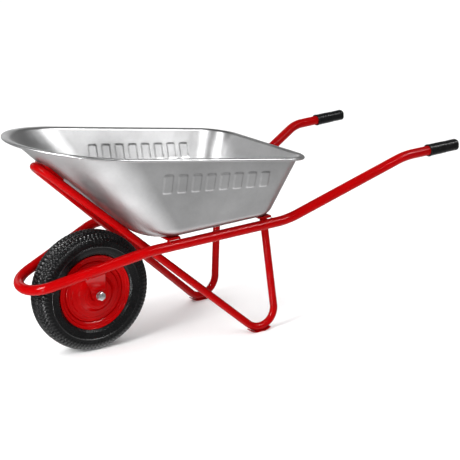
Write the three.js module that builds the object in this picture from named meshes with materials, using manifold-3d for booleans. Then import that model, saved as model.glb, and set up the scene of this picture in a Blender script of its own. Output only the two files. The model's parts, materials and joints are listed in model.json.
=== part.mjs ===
// A single-wheel builder's barrow: bent tube frame, leg and brace tube, pressed tray and a tyred wheel.
// Millimetres. +X runs from the wheel to the handles, +Y to the barrow's right, +Z up.
// Pieces are laid out from the axle line and the ground; at the end the barrow is centred over its footprint.
import * as THREE from "three";
import { ParametricGeometry } from "three/addons/geometries/ParametricGeometry.js";
import { mergeVertices } from "three/addons/utils/BufferGeometryUtils.js";
import Module from "manifold-3d";

const wasm = await Module();
wasm.setup();

// ---------------------------------------------------------------- driving dimensions

const GAP = 0.3; // clearance left between pieces that touch
const HIDDEN = 5; // how far a cutting tool runs past what it cuts

// Main frame tube: corner points of its left half, from the grip to the front of the wheel.
const FRAME = {
  radius: 16.2,
  wall: 1.5,
  gripEnd: [1252, 313, 568],
  handleBend: [1024, 306, 555],
  railRear: [628, 194, 371],
  railFront: [111, 186, 349.5],
  forkNose: [-229, 71, 244.5],
  bendRadii: { handle: 150, rear: 170, front: 150, nose: 92 },
  bendSteps: { handle: 3, rear: 3, front: 2, nose: 5 },
};

// Leg and brace tube: corner points of its left half, from the leg's top to the crossover ahead of the tray.
const LEG = {
  radius: 12.5,
  wall: 1.5,
  top: [569.4, 137.8, 381.8],
  foot: [593.3, 199.9, -65.4],
  crossover: [-163.5, 42.2, 613],
  bendRadii: { foot: 60, crossover: 46 },
  bendSteps: { foot: 7, crossover: 4 },
};

const TUBE_SIDES = { outside: 12, inside: 8 };

// Tray: rounded outlines of the floor and of the rim, each on its own sloping plane z = height + slope * x.
const TRAY = {
  sheet: 1,
  floor: {
    front: 118,
    rear: 581,
    half: 203,
    frontRadius: 112,
    rearRadius: 78,
    height: 370.2,
    slope: 0.0415,
  },
  rim: {
    front: -227,
    rear: 659,
    half: 264,
    frontRadius: 262,
    rearRadius: 84,
    height: 670.6,
    slope: -0.1239,
  },
  cornerRadius: 34,
  cornerSteps: 3,
  flange: 15,
  curlRadius: 4.6,
  curlTurn: 240,
  curlSteps: 4,
  rearSegments: 5,
  noseSegments: 8,
};

// Pressed channels that carry the tray on the rails.
const CHANNEL = { width: 42, height: 8.2, sheet: 2.5, halfLength: 186, frontX: 204, rearX: 548 };

// Domed bolts through the tray: two rows in the floor, and a pair through the brace plate.
const BOLT = {
  radius: 4,
  headRadius: 9,
  headHeight: 4.2,
  shoulderRadius: 5.4,
  shoulderHeight: 3.4,
  washer: 1.6,
  nutFlats: 13,
  nutHeight: 5.8,
  protrusion: 2,
  segments: 10,
};
const FLOOR_BOLTS = { side: 120, rows: { front: 204, rear: 540 } };

// Plate between the brace crossover and the tray's front wall.
const BRACE_PLATE = { x: -120, length: 69, halfWidth: 50, sheet: 3, boltSide: 26 };

// Skid plates under the feet: a flat to stand on, and wings that wrap the bend by the reach angle each way.
const SKID = { width: 26, sheet: 3, flat: 34, reach: 0.53 };

// Axle brackets: a vertical tab on the axle, and a panel that leans out to the fork.
const BRACKET = {
  sheet: 5,
  innerFace: 64.5,
  foldHeight: 17.5,
  tab: [
    [-30, 17.5],
    [-27, -4],
    [-14, -18],
    [7, -18],
    [19, -6],
    [19, 17.5],
  ],
  topFront: [-81, 125, 274],
  topRear: [-18, 141, 291],
  weldDepth: 9,
};

const WHEEL = { radius: 195, tyreSegments: 32, rimSegments: 24, hubSegments: 24 };
const AXLE = {
  radius: 8,
  clearance: 0.4,
  headFlats: 24,
  headHeight: 10,
  washerRadius: 14,
  washer: 2.5,
  nutHeight: 13,
  protrusion: 4,
  spacerRadius: 11,
  segments: 16,
};
const HUB = { radius: 22, bore: 19.3, halfLength: 59 };

// Ball bearings: the lands are the radii of the rings' shoulders beside the ball groove.
const BEARING = {
  bore: 8.3,
  radius: 19,
  width: 11,
  outerFace: 56,
  pitch: 13.75,
  ball: 3.1,
  balls: 8,
  ballSegments: 6,
  ballRings: 4,
  innerLand: 11.55,
  outerLand: 16.15,
  grooveHalf: 2.6,
  cageHalfSheet: 0.7,
  cageHalfWidth: 2.4,
};
const SEAL = { bore: 11.9, radius: 19, width: 2 };
const INNER_TUBE = { middle: 143.5, radialHalf: 32, sideHalf: 34, wall: 2, sides: 8, segments: 20 };

// The valve's rubber stem: it runs in to a distance from the axle, bends, and runs out to the right.
const VALVE = {
  radius: 4,
  clearance: 1.5,
  top: 116,
  run: 88,
  bend: 9,
  bendSteps: 4,
  outerEnd: 38,
  capRadius: 4.8,
  capLength: 10,
};

// Grips: rounded-square sleeves on the handle ends.
const GRIP = {
  length: 128,
  width: 37,
  height: 39,
  corner: 12,
  cornerSteps: 2,
  bore: 16.6,
  end: 7,
  bevel: 3,
};


// The tyre stands on one of its flats.
const WHEEL_Z = WHEEL.radius * Math.cos(Math.PI / WHEEL.tyreSegments);
const SIDES = { left: -1, right: 1 };

// ---------------------------------------------------------------- materials

function material(color, roughness, metalness) {
  return () => new THREE.MeshStandardMaterial({ color, roughness, metalness });
}

const redPaint = material(0xc8101a, 0.32, 0.1);
const galvanised = material(0xb9bcbd, 0.42, 0.85);
const rubber = material(0x1b1b1c, 0.85, 0);
const innerRubber = material(0x2a2a2c, 0.8, 0);
const zincPlate = material(0xc9cbcc, 0.3, 0.9);
const bearingSteel = material(0x9a9c9f, 0.25, 0.95);
const gripPlastic = material(0x141415, 0.6, 0);

// ---------------------------------------------------------------- helpers

const barrow = new THREE.Group();
const wheel = new THREE.Group();
wheel.position.z = WHEEL_Z;
barrow.add(wheel);

function vector([x, y, z]) {
  return new THREE.Vector3(x, y, z);
}

// The point on the barrow's left (-1) or right (+1) side.
function onSide([x, y, z], side) {
  return new THREE.Vector3(x, side * y, z);
}

function place(parent, name, geometry, finish) {
  const mesh = new THREE.Mesh(geometry, finish());
  mesh.name = name;
  parent.add(mesh);
  return mesh;
}

function solid(geometry) {
  const bare = new THREE.BufferGeometry();
  const flat = geometry.index ? geometry.toNonIndexed() : geometry;
  bare.setAttribute("position", flat.getAttribute("position"));
  const merged = mergeVertices(bare, 1e-4);
  return new wasm.Manifold(
    new wasm.Mesh({
      numProp: 3,
      vertProperties: new Float32Array(merged.attributes.position.array),
      triVerts: new Uint32Array(merged.index.array),
    }),
  );
}

function geometryOf(body) {
  const mesh = body.getMesh();
  const geometry = new THREE.BufferGeometry();
  geometry.setAttribute("position", new THREE.BufferAttribute(new Float32Array(mesh.vertProperties), 3));
  geometry.setIndex(new THREE.BufferAttribute(new Uint32Array(mesh.triVerts), 1));
  return geometry;
}

// The first geometry with the others cut away from it.
function cut(geometry, ...tools) {
  return geometryOf(tools.reduce((body, tool) => body.subtract(solid(tool)), solid(geometry)));
}

function join(...geometries) {
  return geometryOf(geometries.map(solid).reduce((body, next) => body.add(next)));
}

// A path of straight runs and round bends, with one station at each end of a run and a few along a bend.
class BentPath extends THREE.Curve {
  constructor(corners, radii, steps) {
    super();
    this.points = [corners[0].clone()];
    this.tangents = [corners[1].clone().sub(corners[0]).normalize()];
    for (let i = 1; i < corners.length - 1; i++) {
      this.addBend(corners[i - 1], corners[i], corners[i + 1], radii[i - 1], steps[i - 1]);
    }
    this.points.push(corners.at(-1).clone());
    this.tangents.push(corners.at(-1).clone().sub(corners.at(-2)).normalize());
  }

  addBend(before, corner, after, radius, steps) {
    const arriving = corner.clone().sub(before).normalize();
    const leaving = after.clone().sub(corner).normalize();
    const turn = arriving.angleTo(leaving);
    const axis = arriving.clone().cross(leaving).normalize();
    const start = corner.clone().addScaledVector(arriving, -radius * Math.tan(turn / 2));
    const centre = start.clone().addScaledVector(axis.clone().cross(arriving), radius);
    for (let k = 0; k <= steps; k++) {
      const angle = (turn * k) / steps;
      this.points.push(start.clone().sub(centre).applyAxisAngle(axis, angle).add(centre));
      this.tangents.push(arriving.clone().applyAxisAngle(axis, angle));
    }
  }

  get steps() {
    return this.points.length - 1;
  }

  getPointAt(u) {
    return this.points[Math.round(u * this.steps)].clone();
  }

  getTangentAt(u) {
    return this.tangents[Math.round(u * this.steps)].clone();
  }
}

function circle(radius, sides) {
  return Array.from({ length: sides }, (_, i) => {
    const angle = (2 * Math.PI * (i + 0.5)) / sides;
    return new THREE.Vector2(radius * Math.cos(angle), radius * Math.sin(angle));
  });
}

function hollowTube(path, radius, wall) {
  const section = new THREE.Shape(circle(radius, TUBE_SIDES.outside));
  section.holes.push(new THREE.Path(circle(radius - wall, TUBE_SIDES.inside)));
  return new THREE.ExtrudeGeometry(section, { extrudePath: path, steps: path.steps });
}

// A closed [radius, y] outline turned round the Y axis.
function turned(outline, segments = AXLE.segments) {
  const area = outline.reduce((sum, [r, y], i) => {
    const [nextR, nextY] = outline[(i + 1) % outline.length];
    return sum + r * nextY - nextR * y;
  }, 0);
  const ordered = area > 0 ? outline : [...outline].reverse();
  const points = [...ordered, ordered[0]].map(([r, y]) => new THREE.Vector2(r, y));
  return new THREE.LatheGeometry(points, segments).rotateY(Math.PI / segments);
}

// A ring round the Y axis between two faces, given in either order.
function ring(bore, radius, from, to, segments) {
  const outline = [
    [bore, from],
    [radius, from],
    [radius, to],
    [bore, to],
  ];
  return turned(outline, segments);
}

// A solid bar along Y.
function bar(radius, from, to, segments = AXLE.segments) {
  return new THREE.CylinderGeometry(radius, radius, to - from, segments).translate(0, (from + to) / 2, 0);
}

// A hexagon along Y, measured across its flats.
function hexagon(flats, from, to) {
  return bar(flats / 2 / Math.cos(Math.PI / 6), from, to, 6);
}

// Turns a piece made along Y so that its +Y end points along a direction, and moves it to a position.
function aimed(geometry, direction, position) {
  const turn = new THREE.Quaternion().setFromUnitVectors(new THREE.Vector3(0, 1, 0), direction);
  return geometry.applyQuaternion(turn).translate(position.x, position.y, position.z);
}

// A bar between two points.
function barBetween(start, end, radius, segments = BOLT.segments) {
  const along = end.clone().sub(start);
  return aimed(bar(radius, 0, along.length(), segments), along.normalize(), start);
}

// An outline in the XZ plane, thickened along Y between two faces.
function plateXZ(outline, from, to) {
  const shape = new THREE.Shape(outline.map(([x, z]) => new THREE.Vector2(x, z)));
  return new THREE.ExtrudeGeometry(shape, { depth: to - from, bevelEnabled: false })
    .rotateX(Math.PI / 2)
    .translate(0, to, 0);
}

// ---------------------------------------------------------------- frame tubes

function mirroredCorners(leftCorners) {
  const left = leftCorners.map((corner) => onSide(corner, -1));
  const right = leftCorners.map((corner) => onSide(corner, 1)).reverse();
  return [...left, ...right];
}

function mainFrameTube() {
  const tubeEnd = vector(FRAME.gripEnd).lerp(vector(FRAME.handleBend), (GRIP.end + GAP) / handleLength());
  const corners = mirroredCorners([
    tubeEnd.toArray(),
    FRAME.handleBend,
    FRAME.railRear,
    FRAME.railFront,
    FRAME.forkNose,
  ]);
  const { handle, rear, front, nose } = FRAME.bendRadii;
  const steps = FRAME.bendSteps;
  const path = new BentPath(
    corners,
    [handle, rear, front, nose, nose, front, rear, handle],
    [steps.handle, steps.rear, steps.front, steps.nose, steps.nose, steps.front, steps.rear, steps.handle],
  );
  return hollowTube(path, FRAME.radius, FRAME.wall);
}

function handleLength() {
  return vector(FRAME.gripEnd).distanceTo(vector(FRAME.handleBend));
}

function legBraceTube() {
  const corners = mirroredCorners([LEG.top, LEG.foot, LEG.crossover]);
  const { foot, crossover } = LEG.bendRadii;
  const steps = LEG.bendSteps;
  const path = new BentPath(
    corners,
    [foot, crossover, crossover, foot],
    [steps.foot, steps.crossover, steps.crossover, steps.foot],
  );
  return hollowTube(path, LEG.radius, LEG.wall);
}

place(barrow, "main_frame_tube", mainFrameTube(), redPaint);
place(barrow, "leg_brace_tube", legBraceTube(), redPaint);

// ---------------------------------------------------------------- skid plates

// The lowest point of the foot bend's centre line, found on a finely divided copy of the bend.
function lowestOfFoot(side) {
  const corners = [LEG.top, LEG.foot, LEG.crossover].map((corner) => onSide(corner, side));
  const path = new BentPath(corners, [LEG.bendRadii.foot], [64]);
  return path.points.reduce((low, point) => (point.z < low.z ? point : low));
}

// A strip bent round the underside of the foot, with a flat to stand on.
function skidPlate(side) {
  const low = lowestOfFoot(side);
  const inner = LEG.bendRadii.foot + LEG.radius + 2 * GAP;
  const bendCentreZ = low.z + LEG.bendRadii.foot;
  const flatAngle = Math.atan(SKID.flat / 2 / (inner + SKID.sheet));
  const middleAngle = (SKID.reach + flatAngle) / 2;
  const angles = [-SKID.reach, -middleAngle, -flatAngle, flatAngle, middleAngle, SKID.reach];
  const face = (distance) => {
    const radius = distance / Math.cos(flatAngle);
    return angles.map((angle) => [low.x + radius * Math.sin(angle), bendCentreZ - radius * Math.cos(angle)]);
  };
  const outline = [...face(inner + SKID.sheet), ...face(inner).reverse()];
  return plateXZ(outline, low.y - SKID.width / 2, low.y + SKID.width / 2);
}

for (const [sideName, side] of Object.entries(SIDES)) {
  place(barrow, `${sideName}_skid_plate`, skidPlate(side), redPaint);
}

// ---------------------------------------------------------------- tray

function lerp(from, to, level) {
  return from + (to - from) * level;
}

// A point of a tray outline, drawn in by an inset, at one of the stations round the tray.
function outlinePoint(outline, { end, side, angle }, inset) {
  const radius = (end === "front" ? outline.frontRadius : outline.rearRadius) - inset;
  const outward = end === "front" ? -1 : 1;
  const x = outline[end] + outward * (radius * (Math.cos(angle) - 1) - inset);
  const y = side * (outline.half - inset - radius + radius * Math.sin(angle));
  return new THREE.Vector3(x, y, outline.height + outline.slope * x);
}

// A point of the tray at a turn u round it (0 to 1), a level between floor (0) and rim (1), and an inset.
function trayPoint(u, level, inset, lift) {
  const station = trayStations[Math.round(u * trayStations.length) % trayStations.length];
  const point = outlinePoint(TRAY.floor, station, inset).lerp(outlinePoint(TRAY.rim, station, inset), level);
  return [point.x, point.y, point.z + lift];
}

// The stations round the tray: right rear corner, right nose, left nose, left rear corner.
const trayStations = (() => {
  const quarter = (end, side, count, rising) =>
    Array.from({ length: count + 1 }, (_, i) => {
      const step = rising ? i : count - i;
      return { end, side, angle: (Math.PI / 2) * (step / count) };
    });
  return [
    ...quarter("rear", 1, TRAY.rearSegments, true),
    ...quarter("front", 1, TRAY.noseSegments, false),
    ...quarter("front", -1, TRAY.noseSegments, true),
    ...quarter("rear", -1, TRAY.rearSegments, false),
  ];
})();

// One skin of the tray's section as [level, inset, lift], from the floor to the end of the curl.
// The offset is 0 on the outer skin and the sheet's thickness on the inner one.
function traySection(offset) {
  const { cornerRadius, cornerSteps, flange, curlRadius, curlTurn, curlSteps } = TRAY;
  const depth = TRAY.rim.height - TRAY.floor.height;
  const bend = cornerRadius - offset;
  const curl = curlRadius - (TRAY.sheet - offset);
  const section = [];
  for (let i = 0; i <= cornerSteps; i++) {
    const turn = (Math.PI / 2) * (i / cornerSteps);
    const level = (cornerRadius * (1 - Math.cos(turn))) / depth;
    section.push([level, cornerRadius - bend * Math.sin(turn), offset * Math.cos(turn)]);
  }
  section.push([1, offset, offset - TRAY.sheet]);
  for (let i = 0; i <= curlSteps; i++) {
    const turn = Math.PI / 2 - THREE.MathUtils.degToRad((curlTurn * i) / curlSteps);
    section.push([1, -flange - curl * Math.cos(turn), -curlRadius + curl * Math.sin(turn)]);
  }
  return section;
}

// The tray as one surface: over the floor's underside, up the outer skin, round the curl and back inside.
function trayShell() {
  const outside = traySection(0);
  const inside = traySection(TRAY.sheet).reverse();
  const section = [...outside, ...inside];
  const rings = section.length;
  const floorMiddle = (TRAY.floor.front + TRAY.floor.rear) / 2;
  const surface = (u, v, target) => {
    const ring = Math.round(v * (rings + 1)) - 1;
    if (ring < 0 || ring >= rings) {
      target.set(floorMiddle, 0, floorZ(floorMiddle) + (ring < 0 ? 0 : TRAY.sheet));
      return;
    }
    target.set(...trayPoint(u, ...section[ring]));
  };
  return new ParametricGeometry(surface, trayStations.length, rings + 1);
}

// Height of the tray floor's underside above the ground.
function floorZ(x) {
  return TRAY.floor.height + TRAY.floor.slope * x;
}

// The tray's front wall at the brace plate: a point on its outer surface, the way up it and the way out.
const frontWall = (() => {
  const { floor, rim } = TRAY;
  const low = new THREE.Vector3(floor.front, 0, floorZ(floor.front));
  const high = new THREE.Vector3(rim.front, 0, rim.height + rim.slope * rim.front);
  const up = high.clone().sub(low).normalize();
  const out = new THREE.Vector3(-up.z, 0, up.x);
  const plateCentre = low.lerp(high, (floor.front - BRACE_PLATE.x) / (floor.front - rim.front));
  return { up, out, plateCentre };
})();

const floorUp = new THREE.Vector3(-TRAY.floor.slope, 0, 1).normalize();

const floorBolts = Object.entries(FLOOR_BOLTS.rows).flatMap(([row, x]) =>
  Object.entries(SIDES).map(([sideName, side]) => ({
    name: `${row}_${sideName}_tray`,
    position: new THREE.Vector3(x, side * FLOOR_BOLTS.side, floorZ(x)),
    inward: floorUp,
  })),
);

const plateBolts = Object.entries(SIDES).map(([sideName, side]) => ({
  name: `${sideName}_brace`,
  position: frontWall.plateCentre.clone().setY(side * BRACE_PLATE.boltSide),
  inward: frontWall.out.clone().negate(),
}));

function boltHole({ position, inward }) {
  return aimed(bar(BOLT.radius + GAP, -3 * HIDDEN, 3 * HIDDEN, BOLT.segments), inward, position);
}

place(barrow, "tray", cut(trayShell(), ...[...floorBolts, ...plateBolts].map(boltHole)), galvanised);

// ---------------------------------------------------------------- cross-members and tray fasteners

function railTopZ(x) {
  const front = vector(FRAME.railFront);
  const rear = vector(FRAME.railRear);
  return lerp(front.z, rear.z, (x - front.x) / (rear.x - front.x)) + FRAME.radius;
}

// An inverted channel across the rails, with holes for its two tray bolts.
function crossMember(x) {
  const { width, height, sheet, halfLength } = CHANNEL;
  const half = width / 2;
  const section = [
    [-half, 0],
    [-half + sheet, 0],
    [-half + sheet, height - sheet],
    [half - sheet, height - sheet],
    [half - sheet, 0],
    [half, 0],
    [half, height],
    [-half, height],
  ];
  const channel = plateXZ(section, -halfLength, halfLength)
    .rotateY(-Math.atan(TRAY.floor.slope))
    .translate(x, 0, railTopZ(x) + 2 * GAP);
  return cut(channel, ...floorBolts.map(boltHole));
}

place(barrow, "front_cross_member", crossMember(CHANNEL.frontX), redPaint);
place(barrow, "rear_cross_member", crossMember(CHANNEL.rearX), redPaint);

// A domed bolt made along Y, with the underside of its head at zero and its shank pointing down.
function domedBolt(shankLength) {
  const outline = [
    [0, BOLT.headHeight],
    [BOLT.shoulderRadius, BOLT.shoulderHeight],
    [BOLT.headRadius, 0],
    [BOLT.radius, 0],
    [BOLT.radius, -shankLength],
    [0, -shankLength],
  ];
  return turned(outline, BOLT.segments);
}

function nut(flats, bore, from, to) {
  return cut(hexagon(flats, from, to), bar(bore, from - HIDDEN, to + HIDDEN));
}

// A domed bolt through the tray, its washer and its nut; stack is the depth of metal from the sheet's outer
// face to the washer.
function trayFastener({ name, position, inward }, stack) {
  const headFace = TRAY.sheet + GAP;
  const washerFace = -stack - GAP;
  const nutFace = washerFace - BOLT.washer - GAP;
  const shankEnd = nutFace - BOLT.nutHeight - BOLT.protrusion;
  const bore = BOLT.radius + GAP;
  const shapes = {
    bolt: domedBolt(headFace - shankEnd).translate(0, headFace, 0),
    washer: ring(bore, BOLT.headRadius, washerFace - BOLT.washer, washerFace, BOLT.segments),
    nut: nut(BOLT.nutFlats, bore, nutFace - BOLT.nutHeight, nutFace),
  };
  for (const [kind, shape] of Object.entries(shapes)) {
    place(barrow, `${name}_${kind}`, aimed(shape, inward, position), zincPlate);
  }
}

// ---------------------------------------------------------------- brace plate

// A flat plate between the brace crossover and the tray's front wall.
function bracePlate() {
  const { length, halfWidth, sheet } = BRACE_PLATE;
  const { up, out, plateCentre } = frontWall;
  const slab = new THREE.BoxGeometry(sheet, 2 * halfWidth, length);
  const turn = new THREE.Quaternion().setFromRotationMatrix(
    new THREE.Matrix4().makeBasis(out, new THREE.Vector3().crossVectors(up, out), up),
  );
  const centre = plateCentre.clone().addScaledVector(out, sheet / 2 + TRAY.sheet);
  slab.applyQuaternion(turn).translate(centre.x, centre.y, centre.z);
  return cut(slab, ...plateBolts.map(boltHole));
}

place(barrow, "brace_plate", bracePlate(), redPaint);

for (const fastener of floorBolts) {
  const { x } = fastener.position;
  const underChannel = railTopZ(x) + 2 * GAP + CHANNEL.height - CHANNEL.sheet;
  trayFastener(fastener, floorZ(x) - underChannel);
}
for (const fastener of plateBolts) {
  trayFastener(fastener, BRACE_PLATE.sheet + TRAY.sheet);
}

// ---------------------------------------------------------------- axle brackets

function forkTubeTool(side) {
  const ends = [onSide(FRAME.railFront, side), onSide(FRAME.forkNose, side)];
  return barBetween(...ends, FRAME.radius + 2 * GAP, 2 * TUBE_SIDES.outside);
}

// A flat panel between a fold line and an edge under the fork, thickened both ways along its normal.
function leaningPanel(foldFront, foldRear, topRear, topFront) {
  const corners = [foldFront, foldRear, topRear, topFront];
  const normal = foldRear.clone().sub(foldFront).cross(topFront.clone().sub(foldFront)).normalize();
  const half = BRACKET.sheet / 2;
  const skin = (offset) => corners.map((corner) => corner.clone().addScaledVector(normal, offset));
  const near = skin(half);
  const far = skin(-half);
  const faces = [
    [near[0], near[1], near[2], near[3]],
    [far[3], far[2], far[1], far[0]],
    ...corners.map((_, i) => [near[i], far[i], far[(i + 1) % 4], near[(i + 1) % 4]]),
  ];
  const positions = faces.flatMap(([a, b, c, d]) => [a, b, c, a, c, d].flatMap((p) => p.toArray()));
  const panel = new THREE.BufferGeometry();
  panel.setAttribute("position", new THREE.Float32BufferAttribute(positions, 3));
  return panel;
}

function axleBracket(side) {
  const { sheet, innerFace, foldHeight, tab, topFront, topRear, weldDepth } = BRACKET;
  const faces = [side * innerFace, side * (innerFace + sheet)].sort((a, b) => a - b);
  const tabOutline = tab.map(([x, z]) => [x, z + WHEEL_Z]);
  const lowerTab = plateXZ(tabOutline, ...faces);
  const middle = side * (innerFace + sheet / 2);
  const foldZ = WHEEL_Z + foldHeight;
  const foldFront = new THREE.Vector3(tab[0][0], middle, foldZ);
  const foldRear = new THREE.Vector3(tab.at(-1)[0], middle, foldZ);
  const lean = (top, fold) => {
    const edge = onSide(top, side);
    return edge.add(edge.clone().sub(fold).setX(0).normalize().multiplyScalar(weldDepth));
  };
  const rear = lean(topRear, foldRear);
  const front = lean(topFront, foldFront);
  const panel =
    side < 0
      ? leaningPanel(foldRear, foldFront, front, rear)
      : leaningPanel(foldFront, foldRear, rear, front);
  const reach = innerFace + sheet + HIDDEN;
  const axleHole = bar(AXLE.radius + AXLE.clearance, -reach, reach).translate(0, 0, WHEEL_Z);
  return cut(join(lowerTab, panel), forkTubeTool(side), axleHole);
}

// ---------------------------------------------------------------- axle

const axle = new THREE.Group();
axle.position.z = WHEEL_Z;
barrow.add(axle);

// Distances from the barrow's middle to faces of the pieces stacked on the axle.
const bracketFace = BRACKET.innerFace + BRACKET.sheet;
const washerFace = bracketFace + GAP + AXLE.washer;
const bearingInnerFace = BEARING.outerFace - BEARING.width;
const boreRadius = AXLE.radius + GAP;

function axleBolt() {
  const headFace = -(washerFace + GAP);
  const shankEnd = washerFace + GAP + AXLE.nutHeight + AXLE.protrusion;
  const head = hexagon(AXLE.headFlats, headFace - AXLE.headHeight, headFace);
  return join(head, bar(AXLE.radius, headFace - AXLE.headHeight / 2, shankEnd));
}

const nutStart = washerFace + GAP;
place(axle, "axle_bolt", axleBolt(), zincPlate);
place(axle, "axle_nut", nut(AXLE.headFlats, boreRadius, nutStart, nutStart + AXLE.nutHeight), zincPlate);
const centreSpacerHalf = bearingInnerFace - GAP;
const centreSpacer = ring(boreRadius, AXLE.spacerRadius, -centreSpacerHalf, centreSpacerHalf);
place(axle, "centre_spacer", centreSpacer, zincPlate);

// A [radius, distance from the middle] outline carried over to the left or the right side.
function mirroredOutline(outline, side) {
  return outline.map(([radius, distance]) => [radius, side * distance]);
}

for (const [sideName, side] of Object.entries(SIDES)) {
  const washerShape = ring(boreRadius, AXLE.washerRadius, side * (bracketFace + GAP), side * washerFace);
  const spacerEnds = [BEARING.outerFace + GAP, BRACKET.innerFace - GAP].map((face) => side * face);
  place(barrow, `${sideName}_axle_bracket`, axleBracket(side), redPaint);
  place(axle, `${sideName}_axle_washer`, washerShape, zincPlate);
  place(axle, `${sideName}_axle_spacer`, ring(boreRadius, AXLE.spacerRadius, ...spacerEnds), zincPlate);
}

// ---------------------------------------------------------------- bearings

// A bearing ring between its back and its land, with a groove for the balls.
function bearingRing(back, land, groove, side) {
  const { outerFace, width, grooveHalf } = BEARING;
  const middle = outerFace - width / 2;
  const outline = [
    [back, bearingInnerFace],
    [back, outerFace],
    [land, outerFace],
    [land, middle + grooveHalf],
    [groove, middle],
    [land, middle - grooveHalf],
    [land, bearingInnerFace],
  ];
  return turned(mirroredOutline(outline, side));
}

// The balls and the strip that keeps them apart, as one piece.
function ballCage(side) {
  const { pitch, ball, balls, outerFace, width, cageHalfSheet, cageHalfWidth } = BEARING;
  const middle = side * (outerFace - width / 2);
  const strip = ring(
    pitch - cageHalfSheet,
    pitch + cageHalfSheet,
    middle - cageHalfWidth,
    middle + cageHalfWidth,
  );
  const set = Array.from({ length: balls }, (_, i) => {
    const angle = (2 * Math.PI * (i + 0.5)) / balls;
    const at = [pitch * Math.cos(angle), middle, pitch * Math.sin(angle)];
    return new THREE.SphereGeometry(ball, BEARING.ballSegments, BEARING.ballRings).translate(...at);
  });
  return join(strip, ...set);
}

for (const [sideName, side] of Object.entries(SIDES)) {
  const { bore, radius, pitch, ball, innerLand, outerLand, outerFace } = BEARING;
  const sealFaces = [outerFace + GAP, outerFace + GAP + SEAL.width].map((face) => side * face);
  const inner = bearingRing(bore, innerLand, pitch - ball - 2 * GAP, side);
  const outer = bearingRing(radius, outerLand, pitch + ball + 2 * GAP, side);
  place(axle, `${sideName}_bearing_inner_ring`, inner, bearingSteel);
  place(wheel, `${sideName}_bearing_outer_ring`, outer, bearingSteel);
  place(wheel, `${sideName}_ball_cage`, ballCage(side), bearingSteel);
  place(wheel, `${sideName}_bearing_seal`, ring(SEAL.bore, SEAL.radius, ...sealFaces), innerRubber);
}

// ---------------------------------------------------------------- wheel

// Half-sections as [radius, distance from the wheel's middle plane]. An outer one starts on the middle plane
// and its inner one ends there; together they are mirrored to the other side.
const RIM_OUTER = [
  [97.5, 0],
  [97.5, 9],
  [101.6, 14],
  [101.6, 31.5],
  [117, 33.9],
  [121, 38],
];
const RIM_INNER = [
  [117.5, 36.6],
  [99.6, 33.6],
  [99.6, 15],
  [95.5, 10],
  [95.5, 0],
];
const DISC_FACE = [
  [22.4, 56.5],
  [38, 58.5],
  [50, 53.5],
  [60, 43],
  [80, 37],
  [83.5, 32],
  [95, 31],
  [99.1, 27],
  [99.1, 17],
];
const DISC_BACK = [
  [97.1, 17],
  [97.1, 26],
  [94.3, 28.9],
  [82.3, 29.8],
  [78.8, 35],
  [58.8, 41],
  [48.8, 51.6],
  [37.4, 56.3],
  [22.4, 54.4],
];
const TYRE_OUTER = [
  [195, 0],
  [193.4, 24],
  [186, 41],
  [170, 47.8],
  [147, 47.3],
  [123.5, 37.2],
  [117, 33.4],
  [102.6, 31],
  [102.6, 21],
];
const TYRE_INNER = [
  [106, 24.5],
  [128, 34],
  [152, 41.8],
  [174, 35],
  [183.5, 0],
];

function symmetric(outerHalf, innerHalf) {
  const half = [...outerHalf, ...innerHalf];
  return [...half, ...mirroredOutline(half.slice(1, -1), -1).reverse()];
}

// The valve runs in from the inner tube through the rim, bends, and comes out through the right disc.
const valveTop = new THREE.Vector3(0, 0, -VALVE.top);
const valveCorner = new THREE.Vector3(0, 0, -VALVE.run);
const valveEnd = new THREE.Vector3(0, VALVE.outerEnd, -VALVE.run);
const valveHoleRadius = VALVE.radius + VALVE.clearance;

function wheelDisc(side) {
  const disc = turned(mirroredOutline([...DISC_FACE, ...DISC_BACK], side), WHEEL.rimSegments);
  return side > 0 ? cut(disc, barBetween(valveCorner, valveEnd, valveHoleRadius)) : disc;
}

// An oval tube with an air way down to the valve.
function innerTube() {
  const { middle, radialHalf, sideHalf, wall, sides, segments } = INNER_TUBE;
  const oval = (inset) => {
    const outline = circle(1, sides).map(({ x, y }) => [
      middle + (radialHalf - inset) * x,
      (sideHalf - inset) * y,
    ]);
    return turned(outline, segments);
  };
  const airWay = barBetween(valveCorner.clone().setZ(-middle), valveCorner, VALVE.radius + GAP);
  return cut(oval(0), oval(wall), airWay);
}

function valveStem() {
  const path = new BentPath([valveTop, valveCorner, valveEnd], [VALVE.bend], [VALVE.bendSteps]);
  const section = new THREE.Shape(circle(VALVE.radius, BOLT.segments));
  return new THREE.ExtrudeGeometry(section, { extrudePath: path, steps: path.steps });
}

function valveCap() {
  const start = valveEnd.y + GAP;
  return bar(VALVE.capRadius, start, start + VALVE.capLength, BOLT.segments).translate(0, 0, valveEnd.z);
}

function wheelRim() {
  const barrel = turned(symmetric(RIM_OUTER, RIM_INNER), WHEEL.rimSegments);
  return cut(barrel, barBetween(valveTop, valveCorner, valveHoleRadius));
}

const tyre = turned(symmetric(TYRE_OUTER, TYRE_INNER), WHEEL.tyreSegments);
const hubTube = ring(HUB.bore, HUB.radius, -HUB.halfLength, HUB.halfLength, WHEEL.hubSegments);
place(wheel, "tyre", tyre, rubber);
place(wheel, "inner_tube", innerTube(), innerRubber);
place(wheel, "wheel_rim", wheelRim(), redPaint);
place(wheel, "left_wheel_disc", wheelDisc(-1), redPaint);
place(wheel, "right_wheel_disc", wheelDisc(1), redPaint);
place(wheel, "hub_tube", hubTube, redPaint);
place(wheel, "valve_stem", valveStem(), innerRubber);
place(wheel, "valve_cap", valveCap(), innerRubber);

// ---------------------------------------------------------------- grips

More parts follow.
